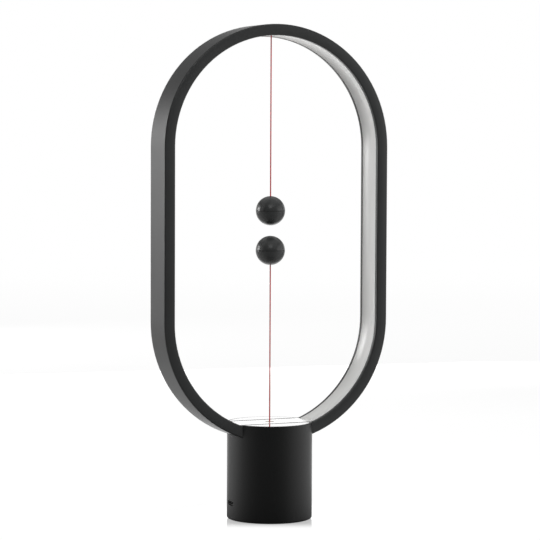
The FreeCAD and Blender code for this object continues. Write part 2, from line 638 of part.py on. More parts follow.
def chassis_plate():
    """Plate on the posts: it carries the ring on two saddles, the sleeve, and the switch on a rib."""
    body = new_body("chassis_plate")
    sketch = sketch_on(body, "XY_Plane", "plate_z")
    circle(sketch, "0", "0", f"{BASE_INSIDE} - 3 * fit_gap")
    feature(body, "Pad", sketch, "plate_wall")
    sketch = sketch_on(body, "XY_Plane", PLATE_TOP)
    rectangle(sketch, "saddle_inner", "saddle_inner + saddle_length", "-saddle_half_width", "saddle_half_width")
    rectangle(sketch, "-saddle_inner - saddle_length", "-saddle_inner", "-saddle_half_width", "saddle_half_width")
    feature(body, "Pad", sketch, "2 * ring_wall")
    sketch = sketch_on(body, "XZ_Plane")
    circle(sketch, "0", LOW, "ring_width / 2 + fit_gap")
    feature(body, "Pocket", sketch, "ring_depth", symmetric=True)
    sketch = sketch_on(body, "XY_Plane", SWITCH_Z)
    rib_face = "(switch_width / 2 + glue_gap)"
    rectangle(sketch, "switch_x", "switch_x + switch_length", rib_face, f"{rib_face} + rib_wall")
    feature(body, "Pad", sketch, f"plate_z - {SWITCH_Z}")
    sketch = sketch_on(body, "XY_Plane", "base_height")
    circle(sketch, "0", "0", f"{SLEEVE_RADIUS} + fit_gap")
    circle(sketch, "-led_wire_x", "0", "led_wire_pitch")
    for x in ("saddle_middle", "-saddle_middle"):
        for y in ("ring_screw_y", "-ring_screw_y"):
            circle(sketch, x, y, "screw_radius + 2 * fit_gap")
    for angle in POST_ANGLES:
        circle(sketch, f"post_circle * cos({angle})", f"post_circle * sin({angle})", "screw_radius + 2 * fit_gap")
    feature(body, "Pocket", sketch, "base_height - plate_z")
    sketch = sketch_on(body, "XZ_Plane")
    for side in ("-", "+"):
        circle(sketch, f"switch_x + switch_length / 2 {side} switch_screw_pitch / 2",
               f"{SWITCH_Z} + switch_height / 2", "switch_screw_radius + thread_gap")
    feature(body, "Pocket", sketch, "switch_width / 2 + glue_gap + rib_wall")
    return body


def screw_ring(label, head_z, down, length):
    """Three screws on the circle of posts. down is -1 where the shafts point down, 1 where up."""
    screws = []
    for angle in POST_ANGLES:
        x = size("post_circle") * math.cos(math.radians(angle))
        y = size("post_circle") * math.sin(math.radians(angle))
        seat = Vector(x, y, size(head_z))
        head = Part.makeCylinder(size("screw_head_radius"), size("screw_head_height"), seat, Vector(0, 0, -down))
        shaft = Part.makeCylinder(size("screw_radius"), size(length), seat, Vector(0, 0, down))
        screws.append(head.fuse(shaft))
    return plain(label, Part.makeCompound(screws))


def bottom_cover():
    """Disc in the rebate under the housing, hollowed for the foot pad and the screw heads."""
    body = new_body("bottom_cover")
    recess = "(pad_wall + glue_gap - foot_gap)"
    sketch = sketch_on(body, "XY_Plane", "foot_gap + fit_gap")
    circle(sketch, "0", "0", f"{REBATE} - fit_gap")
    feature(body, "Pad", sketch, "floor_wall - fit_gap")
    sketch = sketch_on(body, "XY_Plane", f"foot_gap + {recess}")
    circle(sketch, "0", "0", "post_circle + screw_head_radius + 4 * fit_gap")
    feature(body, "Pocket", sketch, recess)
    sketch = sketch_on(body, "XY_Plane", f"foot_gap + {recess} + screw_head_height")
    circle(sketch, "post_circle", "0", "screw_head_radius + fit_gap")
    three_times(body, feature(body, "Pocket", sketch, "screw_head_height"))
    sketch = sketch_on(body, "XY_Plane", "2 * floor_wall")
    circle(sketch, "post_circle", "0", "screw_radius + fit_gap")
    three_times(body, feature(body, "Pocket", sketch, "2 * floor_wall"))
    return body


def ballast_weight():
    """Steel disc on the bottom cover, notched round the posts."""
    body = new_body("ballast_weight")
    sketch = sketch_on(body, "XY_Plane", FLOOR_TOP)
    circle(sketch, "0", "0", f"{BASE_INSIDE} - ballast_gap")
    feature(body, "Pad", sketch, "ballast_height")
    sketch = sketch_on(body, "XY_Plane", BALLAST_TOP)
    circle(sketch, "post_circle", "0", "post_radius + notch_gap")
    three_times(body, feature(body, "Pocket", sketch, "ballast_height"))
    return body


def board_tray():
    """Insulating tray on the ballast that holds the control board."""
    body = new_body("board_tray")
    left, right = "(-circuit_left + fit_gap)", "(-circuit_left + circuit_length + fit_gap + tray_wall)"
    wide = "(circuit_width / 2 + fit_gap)"
    sketch = sketch_on(body, "XY_Plane", BALLAST_TOP)
    rectangle(sketch, left, right, f"-{wide} - tray_wall", f"{wide} + tray_wall")
    feature(body, "Pad", sketch, "tray_rim")
    sketch = sketch_on(body, "XY_Plane", f"{BALLAST_TOP} + tray_rim")
    rectangle(sketch, f"{left} - tray_wall", f"{right} - tray_wall", f"-{wide}", wide)
    feature(body, "Pocket", sketch, "tray_rim - tray_wall")
    return body


def usb_shell():
    """Folded sheet shell of the port, open at its mouth."""
    outer = block("usb_outer", f"-{USB_MOUTH}", "-usb_width / 2", CIRCUIT_TOP,
                  "usb_length", "usb_width", "usb_height")
    inner = block("usb_inner", f"-{USB_MOUTH} - usb_wall", "-usb_width / 2 + usb_wall",
                  f"{CIRCUIT_TOP} + usb_wall", "usb_length", "usb_width - 2 * usb_wall",
                  "usb_height - 2 * usb_wall")
    shell = doc.addObject("Part::Cut", "usb_shell")
    shell.Label = "usb_shell"
    shell.Base = outer
    shell.Tool = inner
    return shell


def usb_tongue():
    middle = f"({CIRCUIT_TOP} + usb_height / 2)"
    return block("usb_tongue", f"-{USB_MOUTH} + usb_wall", "-tongue_width / 2",
                 f"{middle} - tongue_wall / 2", "usb_length - 2 * usb_wall", "tongue_width", "tongue_wall")


def board_components():
    """Driver chip, coil, two capacitors and two resistors on the control board."""
    left, top = -size("circuit_left"), size(CIRCUIT_TOP)
    driver_size = (size("driver_length"), size("driver_width"), size("driver_height"))
    driver = Part.makeBox(*driver_size, Vector(left + size("driver_x"), -driver_size[1] / 2, top))
    row_y = size("coil_y")
    coil_place = Vector(left + size("coil_x"), row_y, top)
    cans = [Part.makeCylinder(size("coil_radius"), size("coil_height"), coil_place)]
    resistors = []
    for index in range(2):
        can_x = left + size("capacitor_x") + index * size("capacitor_pitch")
        can_place = Vector(can_x, row_y, top)
        cans.append(Part.makeCylinder(size("capacitor_radius"), size("capacitor_height"), can_place))
        resistor_size = (size("resistor_length"), size("resistor_width"), size("resistor_height"))
        resistor_y = -size("resistor_y") - index * size("resistor_pitch")
        resistors.append(Part.makeBox(*resistor_size, Vector(left + size("resistor_x"), resistor_y, top)))
    return plain("board_components", Part.makeCompound([driver, *cans, *resistors]))


def lead(points, bend):
    """A lead of straight runs joined by tangent arcs."""
    edges = []
    start = points[0]
    for corner, after in zip(points[1:], points[2:]):
        before_way = (corner - start).normalize()
        after_way = (after - corner).normalize()
        turn = before_way.getAngle(after_way)
        back = bend * math.tan(turn / 2)
        first, last = corner - before_way * back, corner + after_way * back
        inward = (after_way - before_way).normalize()
        middle = corner + inward * (bend / math.cos(turn / 2) - bend)
        edges += [Part.LineSegment(start, first).toShape(), Part.Arc(first, middle, last).toShape()]
        start = last
    edges.append(Part.LineSegment(start, points[-1]).toShape())
    path = Part.Wire(edges)
    way = (points[1] - points[0]).normalize()
    section = Part.Wire(Part.makeCircle(size("wire_radius"), points[0], way))
    return path.makePipeShell([section], True, False)


def switch_leads():
    """Two leads from the switch's outer terminals to the control board."""
    switch_middle = size("switch_x + switch_length / 2")
    terminal_z = size(f"{SWITCH_TOP} + terminal_length / 2")
    start_y = -size("terminal_wall / 2")
    side_y, end_y = -size("wire_side"), -size("switch_wire_y")
    board_x, board_z = size("switch_wire_x - circuit_left"), size(CIRCUIT_TOP)
    run_z = board_z + size("switch_wire_rise")
    pitch = size("switch_wire_pitch")
    leads = []
    for side, end_x, z in ((-1, board_x + pitch, run_z), (1, board_x, run_z - pitch)):
        x = switch_middle + side * size("terminal_pitch")
        corners = [Vector(x, start_y, terminal_z), Vector(x, side_y, terminal_z), Vector(x, side_y, z),
                   Vector(end_x, side_y, z), Vector(end_x, end_y, z), Vector(end_x, end_y, board_z)]
        leads.append(lead(corners, size("wire_bend")))
    return plain("switch_leads", Part.makeCompound(leads))


def led_leads():
    """Two leads from the control board, through the chassis plate, to the light strip."""
    leads = []
    for side in (-1, 1):
        x = -size("led_wire_x")
        y = side * size("led_wire_pitch") / 2
        reach = size(STRIP_BOARD)
        top = size(LOW) - math.sqrt(reach ** 2 - (abs(x) - size("wire_radius")) ** 2) - size("glue_gap")
        bottom = size(CIRCUIT_TOP)
        leads.append(Part.makeCylinder(size("wire_radius"), top - bottom, Vector(x, y, bottom)))
    return plain("led_leads", Part.makeCompound(leads))


# ---------------------------------------------------------------- pull switch in the base
def guide_sleeve():
    body = new_body("guide_sleeve")
    sketch = sketch_on(body, "XZ_Plane")
    foot = "(plate_z - sleeve_foot)"
    flange_top = f"({PLATE_TOP} + sleeve_flange_wall)"
    outline(sketch, [
        (SLEEVE_BORE, foot), (SLEEVE_RADIUS, foot), (SLEEVE_RADIUS, PLATE_TOP),
        ("sleeve_flange_radius", PLATE_TOP), ("sleeve_flange_radius", flange_top),
        (SLEEVE_RADIUS, flange_top), (SLEEVE_RADIUS, SLEEVE_TOP), (SLEEVE_BORE, SLEEVE_TOP),
    ])
    revolve(body, "Revolution", sketch)
    return body


def plunger():
    """Rod with a head. The bead of the lower cord sits in the socket at its top."""
    body = new_body("plunger")
    sketch = sketch_on(body, "XZ_Plane")
    top = f"({LOWER_PIVOT} + socket_lip)"
    mouth = f"sqrt({SOCKET}^2 - socket_lip^2)"
    outline(sketch, [
        ("0", "head_z - head_wall"), ("head_radius", "head_z - head_wall"),
        ("head_radius", "head_z"), ("plunger_radius", "head_z"), ("plunger_radius", top),
        (mouth, top, "0", LOWER_PIVOT, "cw"), ("0", f"{LOWER_PIVOT} - {SOCKET}"),
    ])
    revolve(body, "Revolution", sketch)
    return body


def return_spring():
    """Coil between the plunger's head and the sleeve. Each half turn is an arc in a tilted plane."""
    wire, radius = size("spring_wire / 2"), size("spring_radius")
    foot = size("head_z + glue_gap") + wire
    half_turns = 2 * int(size("spring_turns"))
    rise = (size("plate_z - sleeve_foot - glue_gap") - wire - foot) / half_turns
    slope = math.degrees(math.atan2(rise, 2 * radius))
    arcs = []
    for index in range(half_turns):
        arc = Part.makeTorus(math.hypot(radius, rise / 2), wire, Vector(), Vector(0, 0, 1), -180, 180, 180)
        arc.rotate(Vector(), Vector(0, 1, 0), slope)
        arc.rotate(Vector(), Vector(0, 0, 1), 180 * index)
        arc.translate(Vector(0, 0, foot + rise * (index + 0.5)))
        arcs.append(arc)
    return plain("return_spring", arcs[0].multiFuse(arcs[1:]))


def switch_body():
    body = new_body("switch_body")
    sketch = sketch_on(body, "XY_Plane", SWITCH_Z)
    rectangle(sketch, "switch_x", "switch_x + switch_length", "-switch_width / 2", "switch_width / 2")
    feature(body, "Pad", sketch, "switch_height")
    sketch = sketch_on(body, "XY_Plane", f"{SWITCH_Z} + switch_height / 2")
    circle(sketch, "button_x", "0", "button_radius + slide_gap")
    feature(body, "Pocket", sketch, "switch_height / 2")
    sketch = sketch_on(body, "XZ_Plane")
    for side in ("-", "+"):
        circle(sketch, f"switch_x + switch_length / 2 {side} switch_screw_pitch / 2",
               f"{SWITCH_Z} + switch_height / 2", "switch_screw_radius + thread_gap")
    feature(body, "Pocket", sketch, "switch_width", symmetric=True)
    return body


def switch_lever():
    """Leaf under the switch. Its rolled end is the pivot and its tip rides on the plunger's head."""
    body = new_body("switch_lever")
    sketch = sketch_on(body, "XZ_Plane")
    rectangle(sketch, "lever_tip_x", "lever_pivot_x", LEVER_Z, f"{LEVER_Z} + lever_wall")
    feature(body, "Pad", sketch, "lever_width", symmetric=True)
    sketch = sketch_on(body, "XZ_Plane")
    circle(sketch, "lever_pivot_x", f"{LEVER_Z} + knuckle_radius", "knuckle_radius")
    feature(body, "Pad", sketch, "lever_width", symmetric=True)
    return body


def switch_terminals():
    middle = size("switch_x + switch_length / 2")
    wide, thick, long = size("terminal_width"), size("terminal_wall"), size("terminal_length")
    blades = [Part.makeBox(wide, thick, long, Vector(middle + step * size("terminal_pitch") - wide / 2,
                                                     -thick / 2, size(SWITCH_TOP)))
              for step in (-1, 0, 1)]
    return plain("switch_terminals", Part.makeCompound(blades))


def switch_screws():
    """Two screws through the switch into the chassis rib."""
    middle = size("switch_x + switch_length / 2")
    face = size("switch_width / 2")
    length = size("switch_width + glue_gap + rib_wall")
    screws = []
    for step in (-0.5, 0.5):
        seat = Vector(middle + step * size("switch_screw_pitch"), -face, size(f"{SWITCH_Z} + switch_height / 2"))
        head = Part.makeCylinder(size("switch_screw_head"), size("screw_head_height"), seat, Vector(0, -1, 0))
        shaft = Part.makeCylinder(size("switch_screw_radius"), length, seat, Vector(0, 1, 0))
        screws.append(head.fuse(shaft))
    return plain("switch_screws", Part.makeCompound(screws))


# ---------------------------------------------------------------- cords and balls
def upper_cord_anchor():
    """Ferrule pressed into the diffuser from behind, with the socket of the upper cord's bead."""
    body = new_body("upper_cord_anchor")
    sketch = sketch_on(body, "XZ_Plane")
    foot = f"({HIGH} + {DIFFUSER_DEEP})"
    mouth = f"sqrt({SOCKET}^2 - socket_lip^2)"
    shoulder = f"({HIGH} + {DIFFUSER_BACK} + fit_gap)"
    top = f"({shoulder} + anchor_flange_wall)"
    outline(sketch, [
        (mouth, foot), ("anchor_radius", foot), ("anchor_radius", shoulder),
        ("anchor_flange_radius", shoulder), ("anchor_flange_radius", top), ("0", top),
        ("0", f"{UPPER_PIVOT} + {SOCKET}", "0", UPPER_PIVOT, "cw"),
    ])
    revolve(body, "Revolution", sketch)
    return body


def bead(label, pivot):
    made = doc.addObject("Part::Sphere", label)
    made.Label = label
    bind(made, "Radius", "bead_radius")
    bind(made, "Placement.Base.z", pivot)
    return made


def ball_half(label, middle, side, holds):
    """Half a ball. The cord half takes the cord and its crimp, the magnet half the disc magnet."""
    body = new_body(label)
    sketch = sketch_on(body, "XZ_Plane")
    if holds == "cord":
        hole = "(cord_width / 2 + hole_gap)"
        spigot = "(magnet_radius - fit_gap)"
        cavity = "(magnet_radius - fit_gap - spigot_wall)"
        foot = "-(magnet_seat - magnet_height - fit_gap)"
        outline(sketch, [
            (spigot, "0"), ("ball_radius - seam_bevel", "0"),
            ("sqrt(ball_radius^2 - seam_bevel^2)", "seam_bevel", "0", "0", "ccw"),
            (hole, f"sqrt(ball_radius^2 - {hole}^2)"), (hole, "cavity_height"),
            (cavity, "cavity_height"), (cavity, foot), (spigot, foot),
        ])
    else:
        seat = "(magnet_radius + fit_gap / 2)"
        outline(sketch, [
            (seat, "0"), ("ball_radius - seam_bevel", "0"),
            ("sqrt(ball_radius^2 - seam_bevel^2)", "seam_bevel", "0", "0", "ccw"),
            ("0", "ball_radius"), ("0", "magnet_seat"), (seat, "magnet_seat"),
        ])
    revolve(body, "Revolution", sketch)
    if side < 0:
        body.Placement.Rotation = FreeCAD.Rotation(Vector(1, 0, 0), 180)
    bind(body, "Placement.Base.z", middle)
    return body


def ball(name, middle, cord_side):
    """A ball: cord half on one side, magnet half on the other, magnet, crimp."""
    names = {1: "top_half", -1: "bottom_half"}
    magnet_foot = f"{middle} - magnet_seat" if cord_side > 0 else f"{middle} + magnet_seat - magnet_height"
    crimp = doc.addObject("Part::Cut", f"{name}_cord_crimp")
    crimp.Label = f"{name}_cord_crimp"
    crimp_end = f"({middle} + cavity_height)" if cord_side > 0 else f"({middle} - cavity_height)"
    foot = f"{crimp_end} - crimp_height - glue_gap" if cord_side > 0 else f"{crimp_end} + glue_gap"
    bore_foot = f"{crimp_end} - glue_gap - crimp_depth" if cord_side > 0 else f"{crimp_end} + glue_gap"
    crimp.Base = rod(f"{name}_crimp_outside", "0", "0", foot, "crimp_radius", "crimp_height")
    crimp.Tool = rod(f"{name}_crimp_bore", "0", "0", bore_foot,
                     "cord_width / 2 + crimp_gap", "crimp_depth")
    return [
        ball_half(f"{name}_ball_{names[cord_side]}", middle, cord_side, "cord"),
        ball_half(f"{name}_ball_{names[-cord_side]}", middle, -cord_side, "magnet"),
        rod(f"{name}_magnet", "0", "0", magnet_foot, "magnet_radius", "magnet_height"),
        crimp,
    ]


CRIMP_END = "cavity_height - glue_gap - crimp_depth"
UPPER_CORD_FOOT = f"(upper_ball_z + {CRIMP_END})"
UPPER_CORD_TOP = f"({UPPER_PIVOT} - bead_radius - bead_gap)"
LOWER_CORD_FOOT = f"({LOWER_PIVOT} + bead_radius + bead_gap)"
LOWER_CORD_TOP = f"(lower_ball_z - ({CRIMP_END}))"

pieces = [
    ring_frame(), ring_diffuser(), led_strip_board(), led_chips(), ring_screws(),
    base_housing(), top_cover("top_cover_front", 0), top_cover("top_cover_rear", 180),
    top_strip(), cord_eyelet(), chassis_plate(),
    screw_ring("chassis_screws", PLATE_TOP, -1, "chassis_screw_length"),
    bottom_cover(),
    screw_ring("bottom_screws", "pad_wall + glue_gap + screw_head_height", 1, "bottom_screw_length"),
    rod("foot_pad", "0", "0", "0", "pad_radius", "pad_wall"),
    ballast_weight(), board_tray(),
    block("control_board", "-circuit_left", "-circuit_width / 2", CIRCUIT_Z,
          "circuit_length", "circuit_width", "circuit_wall"),
    usb_shell(), usb_tongue(), board_components(), switch_leads(), led_leads(),
    guide_sleeve(), plunger(), return_spring(), switch_body(),
    rod("switch_button", "button_x", "0", BUTTON_Z, "button_radius", "button_height"),
    switch_lever(), switch_terminals(), switch_screws(),
    upper_cord_anchor(), bead("upper_cord_bead", UPPER_PIVOT),
    rod("upper_cord", "0", "0", UPPER_CORD_FOOT, "cord_width / 2",
        f"{UPPER_CORD_TOP} - {UPPER_CORD_FOOT}"),
    *ball("upper", "upper_ball_z", 1),
    bead("lower_cord_bead", LOWER_PIVOT),
    rod("lower_cord", "0", "0", LOWER_CORD_FOOT, "cord_width / 2",
        f"{LOWER_CORD_TOP} - {LOWER_CORD_FOOT}"),
    *ball("lower", "lower_ball_z", -1),
]
doc.recompute()

# ---------------------------------------------------------------- checks and files
failed = [thing.Name for thing in doc.Objects if {"Invalid", "Error"} & set(thing.State)]
failed += [piece.Label for piece in pieces if piece.Shape.isNull() or not piece.Shape.isValid()]
if failed:
    raise RuntimeError(f"these did not build: {failed}")
os.makedirs("parts", exist_ok=True)
for piece in pieces:
    piece.Shape.exportStep(f"parts/{piece.Label}.step")
    print(f"{piece.Label}: {len(piece.Shape.Solids)} solid(s), {piece.Shape.Volume:.1f} mm3")
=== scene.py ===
import math

import bmesh
import bpy
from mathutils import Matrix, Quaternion, Vector


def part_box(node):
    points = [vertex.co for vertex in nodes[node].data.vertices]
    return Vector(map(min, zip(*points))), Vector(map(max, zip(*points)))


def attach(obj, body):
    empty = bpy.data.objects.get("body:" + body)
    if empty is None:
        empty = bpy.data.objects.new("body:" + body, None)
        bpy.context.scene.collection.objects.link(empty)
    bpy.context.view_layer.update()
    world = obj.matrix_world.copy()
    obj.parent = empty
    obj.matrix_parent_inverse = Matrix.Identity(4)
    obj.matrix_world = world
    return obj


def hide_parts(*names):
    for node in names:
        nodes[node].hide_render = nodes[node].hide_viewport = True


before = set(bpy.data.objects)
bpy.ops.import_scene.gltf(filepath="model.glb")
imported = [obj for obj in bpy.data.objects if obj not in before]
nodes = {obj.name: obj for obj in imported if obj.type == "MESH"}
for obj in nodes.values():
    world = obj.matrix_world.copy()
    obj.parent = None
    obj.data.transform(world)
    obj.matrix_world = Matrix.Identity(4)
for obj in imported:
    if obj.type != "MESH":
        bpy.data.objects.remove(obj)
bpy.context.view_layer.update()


# ---------------------------------------------------------------- camera
# A long lens, far off, stands a little to the left of the lamp's front and looks slightly down at
# its middle, so upright lines stay upright and the base's top is seen almost edge on.
CAMERA_TARGET = Vector((0.0, 0.0, 0.2))
CAMERA_AZIMUTH = math.radians(-24.265)
CAMERA_ELEVATION = math.radians(3.273)
CAMERA_ROLL = math.radians(0.231)
CAMERA_DISTANCE = 1.85
CAMERA_SENSOR = 36.0  # mm
CAMERA_LENS = 152.36  # mm
CAMERA_SHIFT = (-0.00045, 0.0052)
camera_right = Vector((math.cos(CAMERA_AZIMUTH), math.sin(CAMERA_AZIMUTH), 0.0))
camera_away = Vector((-math.sin(CAMERA_AZIMUTH), math.cos(CAMERA_AZIMUTH), 0.0))
camera_back = -camera_away * math.cos(CAMERA_ELEVATION) + Vector((0.0, 0.0, math.sin(CAMERA_ELEVATION)))
camera_data = bpy.data.cameras.new("camera")
camera_data.lens = CAMERA_LENS
camera_data.sensor_width = CAMERA_SENSOR
camera_data.shift_x, camera_data.shift_y = CAMERA_SHIFT
camera = bpy.data.objects.new("camera", camera_data)
camera.location = CAMERA_TARGET + camera_back * CAMERA_DISTANCE
camera.rotation_mode = "QUATERNION"
camera.rotation_quaternion = (-camera_back).to_track_quat("-Z", "Y") @ Quaternion((0, 0, 1), CAMERA_ROLL)
bpy.context.scene.collection.objects.link(camera)
bpy.context.scene.camera = camera


# ---------------------------------------------------------------- ring frame
# The ring is one oval channel of black ABS, injection moulded with a fine spark-eroded skin. Its
# open side faces inwards and its foot is screwed down inside the base.
MM = 0.001
NOISE_LOW, NOISE_HIGH = 0.3, 0.7  # most of a noise texture's values lie between these


def linear(hex_code):
    """An sRGB colour such as "2A2B2C" as linear RGBA."""
    channels = [int(hex_code[place:place + 2], 16) / 255 for place in (0, 2, 4)]
    return (*[c / 12.92 if c <= 0.04045 else ((c + 0.055) / 1.055) ** 2.4 for c in channels], 1.0)


def add(tree, kind, sockets=None, **settings):
    """A node with its settings; each socket is given a value or another node's output."""
    node = tree.nodes.new(kind)
    for name, value in settings.items():
        setattr(node, name, value)
    for socket, value in (sockets or {}).items():
        if isinstance(value, bpy.types.NodeSocket):
            tree.links.new(value, node.inputs[socket])
        else:
            node.inputs[socket].default_value = value
    return node


def new_material(name, **sockets):
    """A material whose shader has these constant values on its own sockets."""
    material = bpy.data.materials.new(name)
    material.use_nodes = True
    tree = material.node_tree
    tree.nodes.clear()
    constants = {key.replace("_", " "): value for key, value in sockets.items()}
    shader = add(tree, "ShaderNodeBsdfPrincipled", constants)
    add(tree, "ShaderNodeOutputMaterial", {"Surface": shader.outputs[0]})
    return material, tree, shader


def in_mm(tree, stretch=(1, 1, 1)):
    """The point on the piece in millimetres, so that a pattern's scale is one over its size."""
    point = add(tree, "ShaderNodeTexCoord").outputs["Object"]
    scale = Vector(stretch) / MM
    return add(tree, "ShaderNodeMapping", {"Vector": point, "Scale": scale}).outputs[0]


def drifting(tree, shader, colours, roughness, patch_mm):
    """Colour and roughness that drift a little over the surface, as handling and moulding leave it."""
    cloud = add(tree, "ShaderNodeTexNoise",
                {"Vector": in_mm(tree), "Scale": 1 / patch_mm, "Detail": 4.0})
    spread = {"Value": cloud.outputs[0], "From Min": NOISE_LOW, "From Max": NOISE_HIGH}
    share = add(tree, "ShaderNodeMapRange", spread)
    tint = add(tree, "ShaderNodeMix",
               {"Factor": share.outputs[0], "A": linear(colours[0]), "B": linear(colours[1])},
               data_type="RGBA")
    tree.links.new(tint.outputs["Result"], shader.inputs["Base Color"])
    rough = add(tree, "ShaderNodeMapRange", {**spread, "To Min": roughness[0], "To Max": roughness[1]})
    tree.links.new(rough.outputs[0], shader.inputs["Roughness"])


def grained(tree, shader, grain_mm, depth_mm, stretch=(1, 1, 1)):
    """A raised grain of that width and height; gives back its bump."""
    # Most real grains are finer than the widths given here and are drawn coarser so that they show.
    grain = add(tree, "ShaderNodeTexNoise",
                {"Vector": in_mm(tree, stretch), "Scale": 1 / grain_mm, "Detail": 3.0})
    bump = add(tree, "ShaderNodeBump",
               {"Height": grain.outputs[0], "Distance": depth_mm * MM, "Strength": 1.0})
    tree.links.new(bump.outputs[0], shader.inputs["Normal"])
    return bump


def finish(material, *names):
    """Gives CAD nodes their material on every slot."""
    for name in names:
        mesh = nodes[name].data
        if not mesh.materials:
            mesh.materials.append(material)
        for index in range(len(mesh.materials)):
            mesh.materials[index] = material


# Moulded black ABS: a satin skin, nearly black face on and pale where the light grazes it. The real
# spark-eroded grain is 0.15 mm wide; it is drawn at 0.9 mm so that it shows.
ring_plastic, tree, shader = new_material("moulded_black_abs", IOR=1.54)
drifting(tree, shader, ("2B2C2C", "2F3030"), (0.32, 0.36), 35)
grained(tree, shader, 0.9, 0.004)
finish(ring_plastic, "ring_frame")


# ---------------------------------------------------------------- light strip in the ring
# A bendable strip of white-masked board is glued round the floor of the channel and carries the
# light chips, each a white package with a yellow phosphor window.

# Screen-printed solder mask: a faintly glossy white, a little greyer in patches.
strip_board, tree, shader = new_material("white_solder_mask", IOR=1.5)
drifting(tree, shader, ("E4E6E2", "D9DCD6"), (0.35, 0.5), 12)
grained(tree, shader, 0.8, 0.01)
finish(strip_board, "led_strip_board")

# Phosphor in poured silicone: an egg yellow with a soft gloss.
light_chip, tree, shader = new_material("phosphor_in_silicone", IOR=1.43)
drifting(tree, shader, ("E2C23A", "D3B02C"), (0.25, 0.4), 2)
grained(tree, shader, 0.4, 0.02)
finish(light_chip, "led_chips")


# ---------------------------------------------------------------- diffuser
# A closed band of opal polycarbonate, extruded and snapped between the channel's lips. It hides the
# light chips and spreads their light.
DISH_DEPTH = 0.8 * MM

# Opal polycarbonate with the light switched off: a plain white with a soft sheen.
diffuser, tree, shader = new_material("opal_polycarbonate", IOR=1.58)
drifting(tree, shader, ("E6E6E4", "E2E2E0"), (0.28, 0.34), 30)
grain = grained(tree, shader, 1.2, 0.003)

# The band sinks a little between its edges, drawn as a bump, and towards the black lips its colour is painted
# darker: painted shade where the lips shade it.
skin = shader.inputs["Base Color"].links[0].from_socket
point = add(tree, "ShaderNodeTexCoord").outputs["Object"]
across = add(tree, "ShaderNodeSeparateXYZ", {0: point}).outputs[1]
half_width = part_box("ring_diffuser")[1].y
share = add(tree, "ShaderNodeMath", {0: across, 1: half_width}, operation="DIVIDE").outputs[0]
edge = add(tree, "ShaderNodeMath", {0: share, 1: share}, operation="MULTIPLY").outputs[0]
dish = add(tree, "ShaderNodeBump", {"Height": edge, "Distance": DISH_DEPTH, "Strength": 1.0})
tree.links.new(dish.outputs[0], grain.inputs["Normal"])
# Painted shade: the white turns greyer towards both edges of the band, next to the black lips.
lip_shade_painted = add(tree, "ShaderNodeMix", {"Factor": edge, "A": skin, "B": linear("D4D4D2")}, data_type="RGBA")
tree.links.new(lip_shade_painted.outputs["Result"], shader.inputs["Base Color"])
finish(diffuser, "ring_diffuser")

# The strip of the same white that closes the ring over the base is polished, so it mirrors what lies
# behind it when seen at a low angle.
polished_opal, tree, shader = new_material("polished_opal", IOR=1.58, Coat_Weight=1.0, Coat_Roughness=0.14)
drifting(tree, shader, ("EDEDEB", "E8E8E6"), (0.2, 0.26), 20)
grained(tree, shader, 1.2, 0.001)
finish(polished_opal, "top_strip")


# ---------------------------------------------------------------- base housing, covers and foot
# A turned-looking tube of the same black ABS with slots for the ring's legs. Two segments close its
# top beside the ring, and a disc with a rubber pad closes its foot.

# Moulded black ABS again, in a deeper black than the ring's and a little duller.
base_plastic, tree, shader = new_material("moulded_black_abs_base", IOR=1.54)
drifting(tree, shader, ("0A0B0B", "0D0E0E"), (0.38, 0.42), 30)
grained(tree, shader, 0.9, 0.004)
finish(base_plastic, "base_housing", "bottom_cover")

# ABS from a polished mould: black from above and nearly a mirror at a low angle.
cover_plastic, tree, shader = new_material("polished_black_abs", IOR=1.54, Coat_Weight=1.0,
                                           Coat_Roughness=0.05)
drifting(tree, shader, ("161717", "1B1C1C"), (0.12, 0.18), 22)
grained(tree, shader, 1.1, 0.001)
finish(cover_plastic, "top_cover_front", "top_cover_rear")

# Moulded rubber: dull and dark grey, with dusty patches.
foot_rubber, tree, shader = new_material("black_foot_rubber", IOR=1.52)
drifting(tree, shader, ("1B1B1B", "232323"), (0.75, 0.9), 8)
grained(tree, shader, 0.7, 0.06)
finish(foot_rubber, "foot_pad")


# ---------------------------------------------------------------- chassis inside the base
# The parts that nobody sees: a moulded plate and tray that hold the ring, the board and the switch,
# with the weight under them, all put together with small screws.

# Glass-filled nylon: dull dark grey, with its fibres showing as streaks along the height.
inner_plastic, tree, shader = new_material("glass_filled_nylon", IOR=1.53)
drifting(tree, shader, ("2A2A29", "353533"), (0.5, 0.7), 10)
grained(tree, shader, 0.8, 0.04, (1, 1, 0.25))
finish(inner_plastic, "chassis_plate", "board_tray", "switch_body")

# Sawn steel bar, oiled: a patchy grey with saw marks that run from left to right.
ballast_steel, tree, shader = new_material("sawn_oiled_steel", Metallic=1.0)
drifting(tree, shader, ("6A6865", "8A8782"), (0.35, 0.55), 9)
grained(tree, shader, 1.0, 0.04, (0.15, 1, 1))
finish(ballast_steel, "ballast_weight")

# Zinc plate on steel: bright, cool and slightly clouded.
screw_steel, tree, shader = new_material("zinc_plated_steel", Metallic=1.0)
drifting(tree, shader, ("A9ABAD", "C3C4C2"), (0.22, 0.4), 1.5)
grained(tree, shader, 0.3, 0.008)
finish(screw_steel, "ring_screws", "chassis_screws", "bottom_screws", "switch_screws")


# ---------------------------------------------------------------- board, port and leads
# A green control board on its tray, with the charging port at its edge and PVC leads to the switch
# and the light strip.

# Green solder mask: a deep glossy green, a little lighter in patches.
circuit_board, tree, shader = new_material("green_solder_mask", IOR=1.5)
drifting(tree, shader, ("0F4A2A", "146036"), (0.2, 0.35), 3)
grained(tree, shader, 0.6, 0.02)
finish(circuit_board, "control_board")

# Moulded epoxy: almost black and quite matt.
component, tree, shader = new_material("moulded_epoxy_package", IOR=1.55)
drifting(tree, shader, ("121213", "1A1A1B"), (0.55, 0.7), 3)
grained(tree, shader, 0.35, 0.02)
finish(component, "board_components", "usb_tongue")

